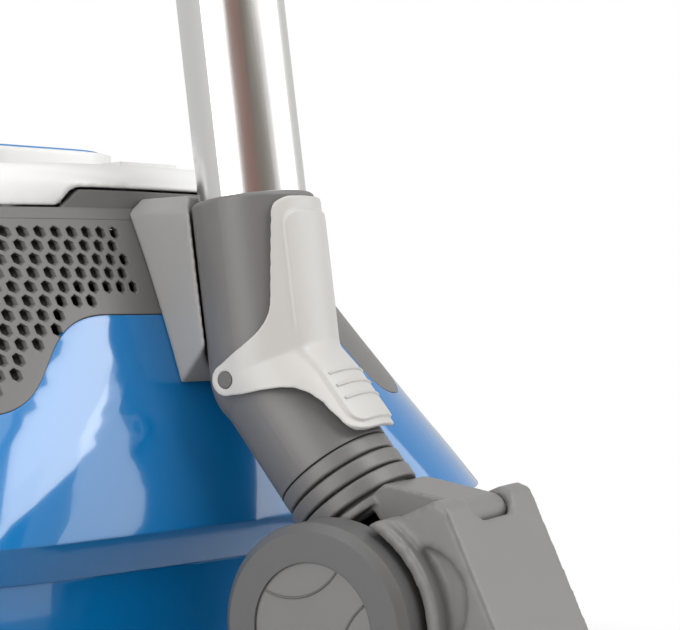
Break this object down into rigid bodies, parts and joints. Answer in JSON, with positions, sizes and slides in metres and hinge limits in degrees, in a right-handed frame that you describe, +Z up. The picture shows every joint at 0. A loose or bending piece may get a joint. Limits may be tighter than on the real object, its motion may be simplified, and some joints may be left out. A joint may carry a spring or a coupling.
{
  "type": "canister vacuum cleaner",
  "caption": "Household canister vacuum cleaner with wheeled body, hinged cover and handle, and a telescopic wand with floor head parked upright at its rear.",
  "frame": {"origin": "middle of the whole object's footprint box, on the floor", "axes": "+Z up, -Y to the canister's front, +Y to the rear where the wand is parked, +X to the canister's right seen from behind"},
  "size_m": [0.32, 0.5638, 0.8062],
  "materials": {
    "blue_shell": "glossy",
    "insert_blue": "glossy",
    "white_cover": "glossy",
    "dark_plastic": "fine matte",
    "dock_plastic": "satin",
    "head_plastic": "fine matte",
    "light_plastic": "satin",
    "inner_plastic": "matte",
    "filter_fabric": "felt",
    "soft_rubber": "matte",
    "tyre_rubber": "matte",
    "lint_fabric": "short pile",
    "tube_steel": "polished",
    "pin_steel": "satin",
    "pin_plastic": "satin",
    "motor_iron": "laminated"
  },
  "bodies": {
    "canister": {"upper_shell": "blue_shell", "lower_shell": "blue_shell", "exhaust_grille": "dark_plastic", "exhaust_filter": "filter_fabric", "top_band": "dark_plastic", "base_pan": "dark_plastic", "bumper_strip": "soft_rubber", "parking_dock": "dock_plastic", "control_panel": "dark_plastic", "cover_hinge_pins": "pin_steel", "inner_deck": "inner_plastic", "dust_bin": "inner_plastic", "motor_filter": "filter_fabric", "motor_housing": "inner_plastic", "motor_seal": "soft_rubber", "motor_stator": "motor_iron", "bearing_plate": "pin_steel", "motor_cradle": "inner_plastic", "reel_bracket": "inner_plastic", "cord_gland": "dark_plastic", "hose_socket": "dark_plastic", "rear_axle": "pin_steel", "pan_screws": "pin_steel"},
    "cover": {"top_cover": "white_cover", "handle_pins": "pin_steel"},
    "latch": {"cover_latch": "white_cover"},
    "handle": {"carry_handle": "white_cover", "handle_insert": "insert_blue"},
    "power_button": {"power_button": "light_plastic"},
    "rewind_button": {"rewind_button": "light_plastic"},
    "suction_dial": {"suction_dial": "light_plastic"},
    "fan": {"motor_shaft": "pin_steel", "fan": "inner_plastic"},
    "reel": {"cord_reel": "inner_plastic"},
    "rear_wheel_right": {"wheel_tyre_right": "tyre_rubber", "wheel_hub_right": "head_plastic"},
    "rear_wheel_left": {"wheel_tyre_left": "tyre_rubber", "wheel_hub_left": "head_plastic"},
    "caster": {"caster_fork": "head_plastic", "caster_pin": "pin_steel"},
    "caster_wheel": {"caster_wheel": "tyre_rubber"},
    "wand": {"elbow": "dark_plastic", "lever_pins": "pin_plastic", "lever_spring": "pin_steel", "wand_tube": "tube_steel", "tube_collar": "dark_plastic"},
    "lever": {"release_lever": "light_plastic"},
    "inner_wand": {"inner_tube": "tube_steel", "end_ferrule": "dark_plastic"},
    "collar_button": {"collar_button": "light_plastic"},
    "neck": {"swivel_rings": "dark_plastic", "neck": "head_plastic"},
    "head": {"head_hood": "head_plastic", "sole_plate": "pin_steel", "lint_strips": "lint_fabric", "head_pins": "pin_steel"},
    "head_wheel_right": {"head_tyre_right": "tyre_rubber", "head_hub_right": "head_plastic"},
    "head_wheel_left": {"head_tyre_left": "tyre_rubber", "head_hub_left": "head_plastic"}
  },
  "joints": [
    {"name": "cover_hinge", "type": "hinge", "parent": "canister", "child": "cover", "pos_m": [0, -0.13035, 0.2964], "axis": [1, 0, 0], "range_deg": [0, 65]},
    {"name": "latch_press", "type": "slide", "parent": "cover", "child": "latch", "axis": [0, 0, -1], "range_m": [0, 0.0025], "stiffness_N_per_m": 600},
    {"name": "handle_hinge", "type": "hinge", "parent": "cover", "child": "handle", "pos_m": [0, -0.10186, 0.3091], "axis": [1, 0, 0], "range_deg": [0, 80]},
    {"name": "power_press", "type": "slide", "parent": "canister", "child": "power_button", "axis": [0, 0, -1], "range_m": [0, 0.0025], "stiffness_N_per_m": 600},
    {"name": "rewind_press", "type": "slide", "parent": "canister", "child": "rewind_button", "axis": [0, 0, -1], "range_m": [0, 0.0025], "stiffness_N_per_m": 600},
    {"name": "dial_turn", "type": "hinge", "parent": "canister", "child": "suction_dial", "pos_m": [0, -0.17211, 0.303], "axis": [0, 0, 1], "range_deg": [-135, 135]},
    {"name": "fan_spin", "type": "hinge", "parent": "canister", "child": "fan", "pos_m": [0, -0.10336, 0.132], "axis": [0, 1, 0], "continuous": true},
    {"name": "reel_spin", "type": "hinge", "parent": "canister", "child": "reel", "pos_m": [0.058, -0.11636, 0.132], "axis": [1, 0, 0], "continuous": true},
    {"name": "rear_wheel_right_roll", "type": "hinge", "parent": "canister", "child": "rear_wheel_right", "pos_m": [0.106, 0.07215, 0.045], "axis": [1, 0, 0], "continuous": true},
    {"name": "rear_wheel_left_roll", "type": "hinge", "parent": "canister", "child": "rear_wheel_left", "pos_m": [-0.106, 0.07215, 0.045], "axis": [1, 0, 0], "continuous": true},
    {"name": "caster_swivel", "type": "hinge", "parent": "canister", "child": "caster", "pos_m": [0, -0.21685, 0.029], "axis": [0, 0, 1], "continuous": true},
    {"name": "caster_roll", "type": "hinge", "parent": "caster", "child": "caster_wheel", "pos_m": [0, -0.20786, 0.012], "axis": [1, 0, 0], "continuous": true},
    {"name": "wand_lift", "type": "slide", "parent": "canister", "child": "wand", "axis": [0.0369, -0.1288, 0.991], "range_m": [0, 0.08]},
    {"name": "telescope", "type": "slide", "parent": "wand", "child": "inner_wand", "axis": [0.0369, -0.1288, 0.991], "range_m": [0, 0.25]},
    {"name": "collar_press", "type": "slide", "parent": "wand", "child": "collar_button", "axis": [0.2732, -0.9526, -0.134], "range_m": [0, 0.002], "stiffness_N_per_m": 600},
    {"name": "lever_press", "type": "hinge", "parent": "wand", "child": "lever", "pos_m": [0.00094, 0.16388, 0.232], "axis": [-0.9613, -0.2756, 0], "range_deg": [0, 3], "stiffness_Nm_per_rad": 1.5},
    {"name": "head_swivel", "type": "hinge", "parent": "wand", "child": "neck", "pos_m": [0, 0.16714, 0.233], "axis": [-0.1735, 0.6049, -0.7771], "range_deg": [-10, 10]},
    {"name": "head_pitch", "type": "hinge", "parent": "neck", "child": "head", "pos_m": [-0.01955, 0.23531, 0.1925], "axis": [0.9613, 0.2756, 0], "range_deg": [0, 60]},
    {"name": "head_wheel_right_roll", "type": "hinge", "parent": "head", "child": "head_wheel_right", "pos_m": [-0.0113, 0.20656, 0.162], "axis": [0.9613, 0.2756, 0], "continuous": true},
    {"name": "head_wheel_left_roll", "type": "hinge", "parent": "head", "child": "head_wheel_left", "pos_m": [-0.0113, 0.20656, 0.162], "axis": [0.9613, 0.2756, 0], "continuous": true}
  ]
}
